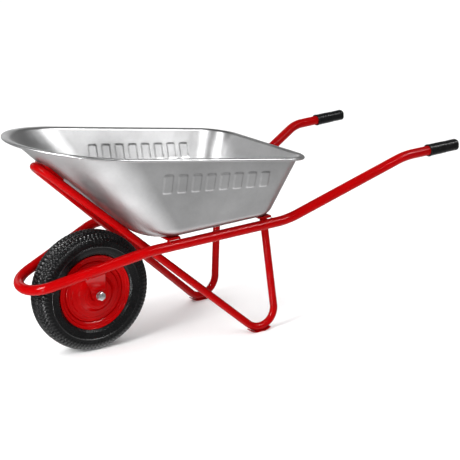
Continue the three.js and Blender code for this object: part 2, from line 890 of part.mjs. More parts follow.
// A rounded rectangle centred on the origin.
function roundedSection(halfWidth, halfHeight, corner, cornerSteps) {
  const quarters = [
    [1, 1],
    [-1, 1],
    [-1, -1],
    [1, -1],
  ];
  const points = quarters.flatMap(([right, up], quarter) =>
    Array.from({ length: cornerSteps + 1 }, (_, i) => {
      const angle = (Math.PI / 2) * (quarter + i / cornerSteps);
      const x = right * (halfWidth - corner) + corner * Math.cos(angle);
      return new THREE.Vector2(x, up * (halfHeight - corner) + corner * Math.sin(angle));
    }),
  );
  return new THREE.Shape(points);
}

// A rounded-square sleeve along +Z, closed at its far end and bored for the handle tube.
function gripSleeve() {
  const { length, width, height, corner, cornerSteps, bore, end, bevel } = GRIP;
  const section = roundedSection(width / 2 - bevel, height / 2 - bevel, corner - bevel, cornerSteps);
  const body = new THREE.ExtrudeGeometry(section, {
    depth: length - 2 * bevel,
    bevelSize: bevel,
    bevelThickness: bevel,
    bevelSegments: 1,
  }).translate(0, 0, bevel);
  const core = bar(bore, -HIDDEN, length - end).rotateX(Math.PI / 2);
  return cut(body, core);
}

// The sleeve laid along the handle, with its closed end at the grip's end.
function gripShape(side) {
  const gripEnd = onSide(FRAME.gripEnd, side);
  const direction = gripEnd.clone().sub(onSide(FRAME.handleBend, side)).normalize();
  const sideways = new THREE.Vector3(0, 0, 1).cross(direction).normalize();
  const axes = new THREE.Matrix4().makeBasis(sideways, direction.clone().cross(sideways), direction);
  axes.setPosition(gripEnd.addScaledVector(direction, -GRIP.length));
  return gripSleeve().applyMatrix4(axes);
}

for (const [sideName, side] of Object.entries(SIDES)) {
  place(barrow, `${sideName}_grip`, gripShape(side), gripPlastic);
}

// ---------------------------------------------------------------- origin

// The barrow stands on the ground with the middle of its footprint box at the origin.
barrow.updateMatrixWorld(true);
const bounds = new THREE.Box3().setFromObject(barrow, true);
const centre = bounds.getCenter(new THREE.Vector3());
barrow.position.set(-centre.x, -centre.y, -bounds.min.z);

export default barrow;
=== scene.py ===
"""The looks of the wheelbarrow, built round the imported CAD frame.

Shapes are laid out in millimetres from the axle line and the ground, as the CAD part is, and moved
to the row frame in metres when a mesh is made. A shape is a pair of its vertices and its faces.
"""

import json
from math import acos, atan, atan2, cos, exp, pi, radians, sin, sqrt, tan

import bmesh
import bpy
import numpy as np
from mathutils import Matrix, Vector


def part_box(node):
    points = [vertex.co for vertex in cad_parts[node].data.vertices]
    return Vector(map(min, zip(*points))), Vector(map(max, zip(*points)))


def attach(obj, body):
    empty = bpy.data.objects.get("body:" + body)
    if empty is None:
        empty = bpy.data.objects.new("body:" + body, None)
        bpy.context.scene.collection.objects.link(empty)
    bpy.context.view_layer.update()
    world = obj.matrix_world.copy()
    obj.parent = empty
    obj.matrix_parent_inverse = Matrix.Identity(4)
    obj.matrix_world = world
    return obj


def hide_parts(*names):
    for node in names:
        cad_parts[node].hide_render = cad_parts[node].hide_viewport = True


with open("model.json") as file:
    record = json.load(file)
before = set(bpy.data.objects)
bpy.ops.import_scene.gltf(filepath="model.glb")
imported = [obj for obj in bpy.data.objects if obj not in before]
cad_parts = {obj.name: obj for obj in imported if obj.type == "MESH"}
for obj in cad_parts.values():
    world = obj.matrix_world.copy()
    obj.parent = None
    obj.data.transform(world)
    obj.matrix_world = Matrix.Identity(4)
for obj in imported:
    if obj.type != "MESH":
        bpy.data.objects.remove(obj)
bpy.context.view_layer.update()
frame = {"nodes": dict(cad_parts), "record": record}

tyre_low, tyre_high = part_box("tyre")
AXLE_X = (tyre_low.x + tyre_high.x) / 2
AXLE_Z = (tyre_low.z + tyre_high.z) / 2 * 1000
GROUND_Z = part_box("left_skid_plate")[0].z

LEFT, RIGHT = -1, 1
SIDES = (("left", LEFT), ("right", RIGHT))

# ---- dimensions, as in the CAD part

GRIP_END = (1252, 313, 568)
HANDLE_BEND = (1024, 306, 555)
MAIN_CORNERS = [GRIP_END, HANDLE_BEND, (628, 194, 371), (111, 186, 349.5), (-229, 71, 244.5)]
MAIN_RADII = [150, 170, 150, 92]
MAIN_RADIUS, MAIN_WALL = 16.2, 1.5
LEG_CORNERS = [(569.4, 137.8, 381.8), (593.3, 199.9, -65.4), (-163.5, 42.2, 613)]
LEG_RADII = [60, 46]
LEG_RADIUS, LEG_WALL = 12.5, 1.5
GRIP_LENGTH, GRIP_CAP = 128, 7
FLOOR = dict(
    front=118, rear=581, half=203, front_radius=112, rear_radius=78, height=370.2, slope=0.0415
)
RIM = dict(
    front=-227, rear=659, half=264, front_radius=262, rear_radius=84, height=670.6, slope=-0.1239
)
SHEET, CORNER, FLANGE, CURL = 1, 34, 15, 4.6
CHANNELS = {"front_cross_member": 204, "rear_cross_member": 548}
CHANNEL_WIDTH, CHANNEL_HEIGHT, CHANNEL_SHEET, CHANNEL_HALF = 42, 8.2, 2.5, 186
RAIL_GAP = 0.6
FLOOR_BOLTS = {"front": 204, "rear": 540}
FLOOR_BOLT_SIDE = 120
PLATE_X, PLATE_BOLT_SIDE, PLATE_SHEET, PLATE_LENGTH, PLATE_HALF = -120, 26, 3, 69, 50

# ---- mesh helpers

MERGE_DISTANCE = 2e-6  # metres


def metres(points):
    """Row-frame metres from millimetres laid out from the axle and the ground."""
    moved = np.asarray(points, float) / 1000
    moved[:, 0] += AXLE_X
    return moved


def linked(name, data):
    """A new object in the scene."""
    made = bpy.data.objects.new(name, data)
    bpy.context.scene.collection.objects.link(made)
    return made


def make(name, verts, faces, finish, replaces, angle, bevel=0, body="frame"):
    """A closed piece on a body, smooth but for edges sharper than the angle in degrees."""
    mesh = bpy.data.meshes.new(name)
    mesh.from_pydata(metres(verts).tolist(), [], [list(map(int, f)) for f in faces])
    work = bmesh.new()
    work.from_mesh(mesh)
    bmesh.ops.remove_doubles(work, verts=work.verts, dist=MERGE_DISTANCE)
    bmesh.ops.recalc_face_normals(work, faces=work.faces)
    work.to_mesh(mesh)
    work.free()
    mesh.shade_smooth()
    mesh.set_sharp_from_angle(angle=radians(angle))
    piece = linked(name, mesh)
    if bevel:
        modifier = piece.modifiers.new("edge", "BEVEL")
        modifier.width, modifier.segments, modifier.limit_method = bevel / 1000, 3, "ANGLE"
        modifier.angle_limit = radians(angle)
        modifier.harden_normals = True
    mesh.materials.append(finish)
    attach(piece, body)
    if replaces:
        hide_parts(*replaces)


def unit(vector):
    return vector / np.linalg.norm(vector)


def smoothstep(low, high, value):
    """0 at the low end and 1 at the high end, with a smooth rise between them."""
    t = np.clip((value - low) / (high - low), 0, 1)
    return t * t * (3 - 2 * t)


def on_line(start, end, x):
    """The point with this X on the line through two points."""
    start, end = np.array(start, float), np.array(end, float)
    return start + (end - start) * (x - start[0]) / (end[0] - start[0])


def turns(count):
    """Angles evenly spaced round a full turn."""
    return np.linspace(0, 2 * pi, count, endpoint=False)


def spun(radius, level, turn):
    """Points round the Y axis. The radius and the level are numbers, or one for each angle."""
    return np.stack(np.broadcast_arrays(radius * np.cos(turn), level, radius * np.sin(turn)), -1)


def lengths(points):
    """The distance along the points to each of them."""
    return np.concatenate([[0], np.cumsum(np.linalg.norm(np.diff(points, axis=0), axis=1))])


def resampled(points, along, at):
    """The points of a line at some distances along it, from its points and their distances."""
    return np.stack([np.interp(at, along, column) for column in points.T], -1)


def rectangle(half_width, half_height):
    signs = ((-1, -1), (1, -1), (1, 1), (-1, 1))
    return [(u * half_width, v * half_height) for u, v in signs]


def grid_faces(rows, cols, wrap_rows=False, wrap_cols=False, start=0):
    """Faces between the points of a grid, joined round where asked."""
    r = np.arange(rows if wrap_rows else rows - 1)
    c = np.arange(cols if wrap_cols else cols - 1)
    r, c = np.meshgrid(r, c, indexing="ij")
    r2, c2 = (r + 1) % rows, (c + 1) % cols
    quads = np.stack([r * cols + c, r2 * cols + c, r2 * cols + c2, r * cols + c2], -1)
    return (quads.reshape(-1, 4) + start).tolist()


def capped_faces(rows, cols):
    """Faces between closed rings, with one over the first ring and one over the last."""
    caps = [list(range(cols)), list(range((rows - 1) * cols, rows * cols))]
    return grid_faces(rows, cols, False, True) + caps


def rounded(points, radius, steps=4, closed=True):
    """A polyline with each corner rounded by about a radius."""
    points = [np.array(p, float) for p in points]
    count, out = len(points), []
    for i, p in enumerate(points):
        if not closed and i in (0, count - 1):
            out.append(p)
            continue
        before, after = points[i - 1] - p, points[(i + 1) % count] - p
        len_before, len_after = np.linalg.norm(before), np.linalg.norm(after)
        before, after = before / len_before, after / len_after
        half = acos(max(-1, min(1, float(before @ after)))) / 2
        if pi / 2 - half < 0.02:
            out.append(p)
            continue
        reach = min(radius / max(tan(half), 1e-6), 0.45 * len_before, 0.45 * len_after)
        first, last = p + before * reach, p + after * reach
        for t in np.linspace(0, 1, steps + 1):
            out.append((1 - t) ** 2 * first + 2 * t * (1 - t) * p + t * t * last)
    return np.array(out)


def lathe(profile, segments, height=AXLE_Z):
    """A closed [radius, y] outline turned round a line along Y, by default the axle's."""
    radius, y = np.asarray(profile, float).T
    verts = spun(radius, y, turns(segments)[:, None]).reshape(-1, 3) + [0, 0, height]
    return verts, grid_faces(segments, len(radius), True, True)


def aim(points, direction, position):
    """Turns points made along +Y so that +Y becomes a direction, and moves them."""
    turn = np.array(Vector((0, 1, 0)).rotation_difference(Vector(direction)).to_matrix())
    return points @ turn.T + position


def bent_path(corners, radii, spacing=3.0, run=18.0):
    """Points along straight runs and round bends through the corners."""
    corners = [np.array(c, float) for c in corners]
    points = [corners[0]]

    def straight_to(end):
        start = points[-1]
        count = max(1, int(np.linalg.norm(end - start) / run))
        points.extend(start + (end - start) * (k / count) for k in range(1, count + 1))

    for before, corner, after, radius in zip(corners, corners[1:], corners[2:], radii):
        arriving, leaving = unit(corner - before), unit(after - corner)
        turn = acos(float(np.clip(arriving @ leaving, -1, 1)))
        inward = np.cross(unit(np.cross(arriving, leaving)), arriving)
        start = corner - arriving * radius * tan(turn / 2)
        centre = start + inward * radius
        straight_to(start)
        steps = max(4, int(turn * radius / spacing))
        for k in range(1, steps + 1):
            a = turn * k / steps
            points.append(centre - inward * radius * cos(a) + arriving * radius * sin(a))
    straight_to(corners[-1])
    return np.array(points)


def carried_frames(points, closed):
    """A side and an up direction at each point, carried along the path without twist."""
    ahead = np.roll(points, -1, 0) - np.roll(points, 1, 0)
    if not closed:
        ahead[0], ahead[-1] = points[1] - points[0], points[-1] - points[-2]
    ahead = ahead / np.linalg.norm(ahead, axis=1)[:, None]
    side = np.cross(ahead[0], (0, 0, 1.0))
    if np.linalg.norm(side) < 1e-3:
        side = np.cross(ahead[0], (1.0, 0, 0))
    sides = []
    for direction in ahead:
        side = unit(side - direction * (side @ direction))
        sides.append(side)
    sides = np.array(sides)
    return sides, np.cross(ahead, sides)


def ring_section(radius, count):
    """A circle as a section to sweep."""
    turn = turns(count)
    return np.stack([np.cos(turn), np.sin(turn)], -1) * radius


def sweep(points, section, scale=None, closed=False):
    """A closed section swept along points, with flat ends unless the path is closed."""
    sides, ups = carried_frames(points, closed)
    scale = np.ones(len(points)) if scale is None else scale
    verts = (
        points[:, None]
        + sides[:, None] * (section[None, :, :1] * scale[:, None, None])
        + ups[:, None] * (section[None, :, 1:] * scale[:, None, None])
    )
    rows, cols = len(points), len(section)
    faces = grid_faces(rows, cols, True, True) if closed else capped_faces(rows, cols)
    return verts.reshape(-1, 3), faces


def tube(points, radius, wall, around):
    """A hollow tube with open ends."""
    outer, faces = sweep(points, ring_section(radius, around))
    inner, _ = sweep(points, ring_section(radius - wall, around))
    faces = faces[:-2]
    start, last = len(outer), (len(points) - 1) * around
    faces += [[i + start for i in face] for face in faces]
    for c in range(around):
        d = (c + 1) % around
        for end in (0, last):
            faces.append([end + c, end + d, end + d + start, end + c + start])
    return np.vstack([outer, inner]), faces


def plate(outline, low, high):
    """A flat [x, z] outline thickened along Y."""
    x, z = np.asarray(outline, float).T
    count = len(x)
    verts = np.vstack([np.column_stack([x, np.full(count, y), z]) for y in (low, high)])
    faces = [list(range(count)), list(range(count, 2 * count))]
    faces += [[i, (i + 1) % count, (i + 1) % count + count, i + count] for i in range(count)]
    return verts, faces


def merged(parts):
    """Several shapes as one."""
    faces, start = [], 0
    for part_verts, part_faces in parts:
        faces += [[i + start for i in face] for face in part_faces]
        start += len(part_verts)
    return np.vstack([part_verts for part_verts, _ in parts]), faces


def facing(part, side, shift=0.0):
    """A shape moved along Y, and then mirrored when it is for the left side."""
    verts, faces = part
    return (verts + [0, shift, 0]) * [1, side, 1], faces


def on_side(point, side):
    return np.array([point[0], side * point[1], point[2]], float)


def mirrored_path(corners):
    """Corners down the left side and back up the right."""
    left = [on_side(c, LEFT) for c in corners]
    return left + [on_side(c, RIGHT) for c in reversed(corners)]


BEAD_STEP, RIPPLE_LENGTH = 0.55, 2.6


def weld(points, radius, seed, closed=False):
    """A rippled bead of weld along a path."""
    points = np.asarray(points, float)
    if closed:
        points = np.vstack([points, points[:1]])
    along = lengths(points)
    count = max(12, int(along[-1] / BEAD_STEP))
    at = np.linspace(0, along[-1], count, endpoint=not closed)
    lumps = max(4, count // 9)
    heights = np.random.default_rng(seed).uniform(-1, 1, lumps)
    ripple = 1 + 0.10 * np.abs(np.sin(at * pi / RIPPLE_LENGTH))
    ripple += 0.07 * np.interp(at, np.linspace(0, along[-1], lumps), heights)
    if not closed:
        ripple *= np.sqrt(np.clip(np.minimum(at, along[-1] - at) / radius + 0.15, 0, 1))
    return sweep(resampled(points, along, at), ring_section(radius, 10), ripple, closed)


# ---- materials


class Graph:
    """The node tree of a material or the world, with the nodes that are used here."""

    def __init__(self, owner):
        owner.use_nodes = True
        self.owner = owner
        self.nodes, self.links = owner.node_tree.nodes, owner.node_tree.links

    def feed(self, node, inputs):
        """Sets each input of a node to a constant, or links it to an output."""
        for key, value in inputs.items():
            if isinstance(value, bpy.types.NodeSocket):
                self.links.new(value, node.inputs[key])
            else:
                node.inputs[key].default_value = value

    def add(self, kind, inputs):
        made = self.nodes.new("ShaderNode" + kind)
        self.feed(made, inputs)
        return made

    def where(self, kind="Object"):
        return self.add("TexCoord", {}).outputs[kind]

    def noise(self, scale, detail, rough, stretch=None):
        way = self.where()
        if stretch:
            way = self.add("Mapping", {"Scale": stretch, "Vector": way}).outputs["Vector"]
        inputs = {"Scale": scale, "Detail": detail, "Roughness": rough, "Vector": way}
        return self.add("TexNoise", inputs).outputs["Fac"]

    def ramp(self, source, stops):
        made = self.add("ValToRGB", {"Fac": source})
        elements = made.color_ramp.elements
        for element, (position, colour) in ((elements[0], stops[0]), (elements[1], stops[-1])):
            element.position, element.color = position, (*colour, 1)
        for position, colour in stops[1:-1]:
            elements.new(position).color = (*colour, 1)
        return made.outputs["Color"]

    def remap(self, source, low, high, out_low, out_high):
        inputs = {"From Min": low, "From Max": high, "To Min": out_low, "To Max": out_high}
        return self.add("MapRange", {"Value": source, **inputs}).outputs["Result"]

    def mix(self, blend, factor, first, second):
        """Two colours mixed or multiplied. Each is an output or an (r, g, b)."""
        made = self.nodes.new("ShaderNodeMix")
        made.data_type, made.blend_type = "RGBA", blend
        first, second = ((*c, 1) if isinstance(c, tuple) else c for c in (first, second))
        self.feed(made, {"Factor": factor, 6: first, 7: second})
        return made.outputs[2]

    def edges(self, low, high):
        """White on sharp outer edges, for wear."""
        geometry = self.add("NewGeometry", {})
        return self.remap(geometry.outputs["Pointiness"], low, high, 0, 1)

    def shaded(self, inputs):
        """The material, with these inputs on its shader."""
        self.feed(self.nodes["Principled BSDF"], inputs)
        return self.owner

    def bumps(self, *layers):
        """The normal of stacked layers of (height, strength, distance in metres)."""
        below = {}
        for height, strength, distance in layers:
            inputs = {"Strength": strength, "Distance": distance, "Height": height, **below}
            normal = self.add("Bump", inputs).outputs["Normal"]
            below = {"Normal": normal}
        return normal


def new_finish(name):
    """The graph of a new material, named as its slot."""
    made = bpy.data.materials.new(name)
    made["slot"] = name
    return Graph(made)


def red_paint():
    """Glossy paint with faint clouds, specks of dust and lighter edges."""
    graph = new_finish("red_paint")
    cloud = graph.noise(14, 5, 0.55)
    tone = graph.ramp(cloud, [(0.3, (0.258, 0.0002, 0.0006)), (0.7, (0.31, 0.0004, 0.0009))])
    dust = graph.remap(graph.noise(900, 3, 0.6), 0.62, 0.76, 0, 0.25)
    tone = graph.mix("MIX", dust, tone, (0.225, 0.0005, 0.001))
    inputs = {
        "Base Color": graph.mix("MIX", graph.edges(0.58, 0.70), tone, (0.36, 0.002, 0.004)),
        "Roughness": graph.remap(graph.noise(38, 6, 0.6), 0.3, 0.7, 0.13, 0.20),
        "Coat Weight": 0.14,
        "Coat Roughness": 0.04,
        "Specular IOR Level": 0.02,
        "Normal": graph.bumps((graph.noise(420, 2, 0.5), 0.10, 0.0003)),
    }
    return graph.shaded(inputs)


def galvanised():
    """Zinc-coated sheet with soft clouds, fine spangle and faint marks of drawing."""
    graph = new_finish("galvanised_sheet")
    greys = ((0.28, 0.34, 0.342), (0.5, 0.42, 0.423), (0.74, 0.50, 0.503))
    tone = graph.ramp(graph.noise(4.2, 5, 0.55), [(at, (g, g, blue)) for at, g, blue in greys])
    cells = graph.add("TexVoronoi", {"Scale": 130, "Randomness": 1, "Vector": graph.where()})
    spangle = graph.add("RGBToBW", {"Color": cells.outputs["Color"]}).outputs["Val"]
    shade = graph.ramp(spangle, [(0.1, (0.95,) * 3), (0.9, (1.0,) * 3)])
    rough = graph.remap(graph.noise(9, 6, 0.6), 0.3, 0.7, 0.35, 0.46)
    tweak = graph.remap(spangle, 0, 1, -0.02, 0.02)
    drawn = graph.noise(7, 3, 0.5, (1, 1, 0.5))
    inputs = {
        "Base Color": graph.mix("MULTIPLY", 0.9, tone, shade),
        "Metallic": 1.0,
        "Roughness": graph.add("Math", {0: rough, 1: tweak}).outputs["Value"],
        "Normal": graph.bumps((drawn, 0.55, 0.006), (graph.noise(700, 3, 0.6), 0.10, 0.0003)),
    }
    return graph.shaded(inputs)


def mottled(name, tones, scales, worn, gloss, grain, extra):
    """Two tones in fine clouds, lighter edges, patches of gloss and a fine grain."""
    graph = new_finish(name)
    cloud, patch = (graph.noise(scale, 5, 0.6) for scale in scales)
    tone = graph.ramp(cloud, [(0.3, tones[0]), (0.7, tones[1])])
    (grain_noise, strength, distance), (worn_at, worn_tone) = grain, worn
    inputs = {
        "Base Color": graph.mix("MIX", graph.edges(0.53, worn_at), tone, worn_tone),
        "Roughness": graph.remap(patch, 0.3, 0.7, *gloss),
        "Normal": graph.bumps((graph.noise(*grain_noise), strength, distance)),
    }
    return graph.shaded({**inputs, **extra})


def black_rubber(name, low, high, gloss, grain_scale):
    worn = (0.64, tuple(c * 1.6 + 0.003 for c in high))
    gloss, grain = (gloss, gloss + 0.16), ((grain_scale, 3, 0.6), 0.25, 0.0004)
    return mottled(name, (low, high), (22, 60), worn, gloss, grain, {"Specular IOR Level": 0.25})


def plated(name, low, high, gloss):
    worn = (0.62, (0.82, 0.82, 0.83))
    gloss, grain = (gloss, gloss + 0.14), ((900, 2, 0.5), 0.12, 0.0002)
    return mottled(name, (low, high), (70, 160), worn, gloss, grain, {"Metallic": 1.0})


RED = red_paint()
ZINC_SHEET = galvanised()
TYRE = black_rubber("tyre_rubber", (0.002, 0.002, 0.0023), (0.0045, 0.0045, 0.0048), 0.17, 900)
RUBBER = black_rubber("soft_rubber", (0.014, 0.014, 0.015), (0.022, 0.022, 0.023), 0.5, 700)
GRIP_TONES = (0.0012, 0.0012, 0.0014), (0.0025, 0.0025, 0.0028)
GRIP_PLASTIC = black_rubber("grip_plastic", *GRIP_TONES, 0.2, 1400)
ZINC = plated("zinc_plate", (0.58, 0.58, 0.60), (0.70, 0.70, 0.71), 0.22)
STEEL = plated("bearing_steel", (0.46, 0.47, 0.48), (0.58, 0.58, 0.59), 0.16)
BY_SLOT = {m["slot"]: m for m in (RED, ZINC_SHEET, TYRE, RUBBER, GRIP_PLASTIC, ZINC, STEEL)}

for row in frame["record"]["subparts"]:
    node = frame["nodes"][row["node"]]
    node.data.materials.clear()
    node.data.materials.append(BY_SLOT[row["material_slot"]])

# ---- camera, light, floor

LENS, SENSOR_WIDTH = 92.1, 36
CAMERA_AT = (AXLE_X - 1.5665, -3.1738, 1.4455)
AZIMUTH, ELEVATION = radians(-33.46), radians(16.73)
# Brightness of the room from straight down to straight up.
ROOM = ((0, 2.5), (0.08, 1.35), (0.2, 0.72), (0.34, 0.22), (0.5, 0.30), (0.7, 0.16), (1, 0.12))
CEILING, CEILING_SPREAD = 3.3, radians(100)
# Name, position, target, size and radiance of each softbox, in metres.
SOFTBOXES = (
    ("strip", (1.0, -1.9, 2.3), (-0.1, 0, 0.4), (2.8, 0.09), 80),
    ("key", (-2.75, -0.75, 1.6), (-0.55, 0, 0.25), (0.8, 1.0), 30),
    ("sheen", (-2.6, -0.5, 1.95), (-0.55, 0, 0.25), (0.7, 0.6), 38),
    ("fill", (-1.7, -3.0, 0.8), (-0.1, 0, 0.3), (1.5, 0.9), 13),
    ("front", (1.3, -1.9, 2.2), (-0.1, 0.1, 0.6), (1.6, 1.1), 7.5),
    ("back", (0, 3.4, 1.6), (0, 0, 0.65), (4.4, 0.9), 1.5),
    ("low", (-2.1, -1.27, -0.58), (0.1, -0.2, 0.2), (0.09, 1.5), 95),
)
FLOOR_REACH = 30


def held(name, data, position, direction):
    """The object of a camera or light, at a position and looking in a direction."""
    holder = linked(name, data)
    holder.location = position
    holder.rotation_mode = "QUATERNION"
    holder.rotation_quaternion = direction.to_track_quat("-Z", "Y")
    return holder


def camera():
    made = bpy.data.cameras.new("camera")
    made.lens, made.sensor_width = LENS, SENSOR_WIDTH
    made.clip_start, made.clip_end = 0.1, 60
    level = cos(ELEVATION)
    ahead = (-sin(AZIMUTH) * level, cos(AZIMUTH) * level, -sin(ELEVATION))
    bpy.context.scene.camera = held("camera", made, CAMERA_AT, Vector(ahead))


def add_light(name, kind, position, target):
    """A light at a position, aimed at a target, that the camera doesn't see itself."""
    data = bpy.data.lights.new(name, kind)
    holder = held(name, data, position, Vector(target) - Vector(position))
    holder.visible_camera = False
    return holder, data


def softbox(name, position, target, size, radiance):
    """A rectangular light. The key and fill light matt surfaces, and all but the fill glint."""
    holder, data = add_light(name, "AREA", position, target)
    data.shape, data.size, data.size_y = "RECTANGLE", *size
    data.energy = radiance * pi * size[0] * size[1]
    holder.visible_diffuse = name in ("key", "fill")
    holder.visible_glossy = name != "fill"


def studio():
    """A white backdrop and a dark room, brighter towards the ground, with its lights."""
    world = bpy.data.worlds.new("studio")
    graph = Graph(world)
    height = graph.add("SeparateXYZ", {"Vector": graph.where("Generated")}).outputs["Z"]
    room = graph.nodes["Background"]
    tone = graph.ramp(graph.remap(height, -1, 1, 0, 1), [(at, (grey,) * 3) for at, grey in ROOM])
    graph.feed(room, {"Color": tone})
    backdrop = graph.add("Background", {"Color": (1, 1, 1, 1)})
    seen = graph.add("LightPath", {}).outputs["Is Camera Ray"]
    shades = {1: room.outputs["Background"], 2: backdrop.outputs["Background"]}
    chosen = graph.add("MixShader", {"Fac": seen, **shades}).outputs["Shader"]
    graph.feed(graph.nodes["World Output"], {"Surface": chosen})
    bpy.context.scene.world = world
    ceiling, data = add_light("ceiling", "SUN", (0.3, 0.5, 3.6), (0, 0, 0))
    data.energy, data.angle = CEILING, CEILING_SPREAD
    ceiling.visible_glossy = False
    for row in SOFTBOXES:
        softbox(*row)


def floor():
    """A pale matt floor that takes the soft shadow."""
    graph = new_finish("floor")
    cloud = graph.noise(1.3, 3, 0.5)
    tone = graph.ramp(cloud, [(0.2, (0.93,) * 3), (0.8, (0.95,) * 3)])
    rough = graph.remap(cloud, 0.2, 0.8, 0.85, 0.95)
    mesh = bpy.data.meshes.new("floor")
    corners = [(x, y, GROUND_Z) for x, y in rectangle(FLOOR_REACH, FLOOR_REACH)]
    mesh.from_pydata(corners, [], [[0, 1, 2, 3]])
    mesh.materials.append(graph.shaded({"Base Color": tone, "Roughness": rough}))
    plane = linked("floor", mesh)
    plane.visible_glossy = False


bpy.context.scene.view_settings.view_transform = "Standard"
camera()
studio()
floor()

# ---- frame tubes

HANDLE = unit(np.subtract(GRIP_END, HANDLE_BEND))
TUBE_END = GRIP_END - HANDLE * (GRIP_CAP + 0.3)

main_path = bent_path(mirrored_path([TUBE_END, *MAIN_CORNERS[1:]]), MAIN_RADII + MAIN_RADII[::-1])
main_tube = tube(main_path, MAIN_RADIUS, MAIN_WALL, 48)
make("main_tube", *main_tube, RED, ["main_frame_tube"], 50)

leg_path = bent_path(mirrored_path(LEG_CORNERS), LEG_RADII + LEG_RADII[::-1], 2.5)
leg_tube = tube(leg_path, LEG_RADIUS, LEG_WALL, 40)
make("leg_and_brace_tube", *leg_tube, RED, ["leg_brace_tube"], 50)

# ---- skid plates

SKID_REACH = 0.53  # radians to each side of the foot's lowest point
SKID_FLAT, SKID_HALF, SKID_HALF_SHEET, SKID_GAP = 17, 13, 1.5, 0.6


def foot_path(side, spacing, run):
    """The leg and brace of one side, round the foot."""
    return bent_path([on_side(c, side) for c in LEG_CORNERS], LEG_RADII[:1], spacing, run)


def foot_lowest(side):
    path = foot_path(side, 0.8, 40)
    return path[path[:, 2].argmin()]


def skid_plate(side):
    """A strip bent round the foot, with a flat middle that stands on the ground."""
    low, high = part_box(("left" if side < 0 else "right") + "_skid_plate")
    middle_y = (low.y + high.y) / 2 * 1000
    bottom = foot_lowest(side)
    centre_z = bottom[2] + LEG_RADII[0]
    middle = LEG_RADII[0] + LEG_RADIUS + SKID_GAP + SKID_HALF_SHEET
    flat = atan(SKID_FLAT / (middle + SKID_HALF_SHEET))
    spans = ((-SKID_REACH, -flat, 9), (-flat, flat, 7), (flat, SKID_REACH, 9))
    path = []
    for a in [-SKID_REACH, *(a for span in spans for a in np.linspace(*span)[1:])]:
        reach = middle / cos(min(abs(a), flat))
        path.append((bottom[0] + reach * sin(a), middle_y, centre_z - reach * cos(a)))
    verts, faces = sweep(np.array(path), rounded(rectangle(SKID_HALF, SKID_HALF_SHEET), 0.9, 3))
    return verts + [0, 0, GROUND_Z * 1000 - verts[:, 2].min()], faces


for hand, side in SIDES:
    make(f"{hand}_skid", *skid_plate(side), RED, [f"{hand}_skid_plate"], 40)

# ---- tray

REAR_STEPS, FRONT_STEPS, SIDE_STEPS, BACK_STEPS, NOSE_STEPS = 22, 64, 150, 60, 2
CORNER_ROWS, WALL_ROWS, FILLET_ROWS, CURL_ROWS, FAN_ROWS = 10, 84, 8, 18, 7
FILLET, CURL_TURN = 7, 265
WALL_HEIGHT = 232
RIBS, RIB_FIRST, RIB_PITCH, RIB_HEIGHT = 8, 150, 50, 150
RIB_HALF_WIDTH, RIB_HALF_HEIGHT, RIB_CORNER, RIB_DEPTH, RIB_SIDE = 15, 30, 5, 2.2, 150


def level_z(outline, x):
    """The height of the floor's or rim's sloping plane."""
    return outline["height"] + outline["slope"] * x


def tray_stations():
    """Stations round the tray: two (end, side, angle) on its corners and the blend of the two."""
    arcs = []
    for end, side, count, step, gap in (
        ("rear", 1, REAR_STEPS, 1, SIDE_STEPS),
        ("front", 1, FRONT_STEPS, -1, NOSE_STEPS),
        ("front", -1, FRONT_STEPS, 1, SIDE_STEPS),
        ("rear", -1, REAR_STEPS, -1, BACK_STEPS),
    ):
        arcs.append(([(end, side, pi / 2 * i / count) for i in range(count + 1)[::step]], gap))
    stations = []
    for (arc, gap), (following, _) in zip(arcs, arcs[1:] + arcs[:1]):
        stations += [(s, s, 0.0) for s in arc]
        stations += [(arc[-1], following[0], k / gap) for k in range(1, gap)]
    return stations


STATIONS = tray_stations()


def outline_points(outline, inset):
    """The outline drawn in by an inset at every station, as an array of points."""
    def at(station):
        end, side, angle = station
        radius = outline[f"{end}_radius"] - inset
        outward = -1 if end == "front" else 1
        x = outline[end] + outward * (radius * (cos(angle) - 1) - inset)
        return x, side * (outline["half"] - inset - radius + radius * sin(angle))

    flat = []
    for first, second, t in STATIONS:
        (x1, y1), (x2, y2) = at(first), at(second)
        flat.append((x1 + (x2 - x1) * t, y1 + (y2 - y1) * t))
    flat = np.array(flat)
    return np.column_stack([flat, level_z(outline, flat[:, 0])])


def tray_section(offset):
    """One skin of the sheet as (level, inset, lift, share up the wall or -1)."""
    depth = RIM["height"] - FLOOR["height"]
    rows = []
    for k in range(CORNER_ROWS + 1):
        turn = pi / 2 * k / CORNER_ROWS
        level = CORNER * (1 - cos(turn)) / depth
        inset = CORNER - (CORNER - offset) * sin(turn)
        rows.append((level, inset, offset * cos(turn), 0))
    lip = (FILLET + SHEET) / depth
    start, end = CORNER / depth, 1 - lip
    for k in range(1, WALL_ROWS):
        rows.append((start + (end - start) * k / WALL_ROWS, offset, 0, k / WALL_ROWS))
    for k in range(FILLET_ROWS + 1):
        turn = pi / 2 * k / FILLET_ROWS
        inset = -FILLET + (FILLET + offset) * cos(turn)
        rows.append((1 - lip * (1 - sin(turn)), inset, (offset - SHEET) * sin(turn), -1))
    curl = CURL - (SHEET - offset)
    for k in range(CURL_ROWS + 1):
        turn = radians(90 - CURL_TURN * k / CURL_ROWS)
        rows.append((1, -FLANGE - curl * cos(turn), -CURL + curl * sin(turn), -1))
    return rows


def press(x, share):
    """How far ribs press the side wall out, at a distance along it and a share of its height."""
    out = np.zeros_like(x)
    dz = abs(share * WALL_HEIGHT - RIB_HEIGHT) - (RIB_HALF_HEIGHT - RIB_CORNER)
    for k in range(RIBS):
        dx = np.abs(x - (RIB_FIRST + k * RIB_PITCH)) - (RIB_HALF_WIDTH - RIB_CORNER)
        past = np.hypot(np.maximum(dx, 0), max(dz, 0)) + np.minimum(np.maximum(dx, dz), 0)
        out = np.maximum(out, smoothstep(1.3, -1.5, past - RIB_CORNER))
    return RIB_DEPTH * out


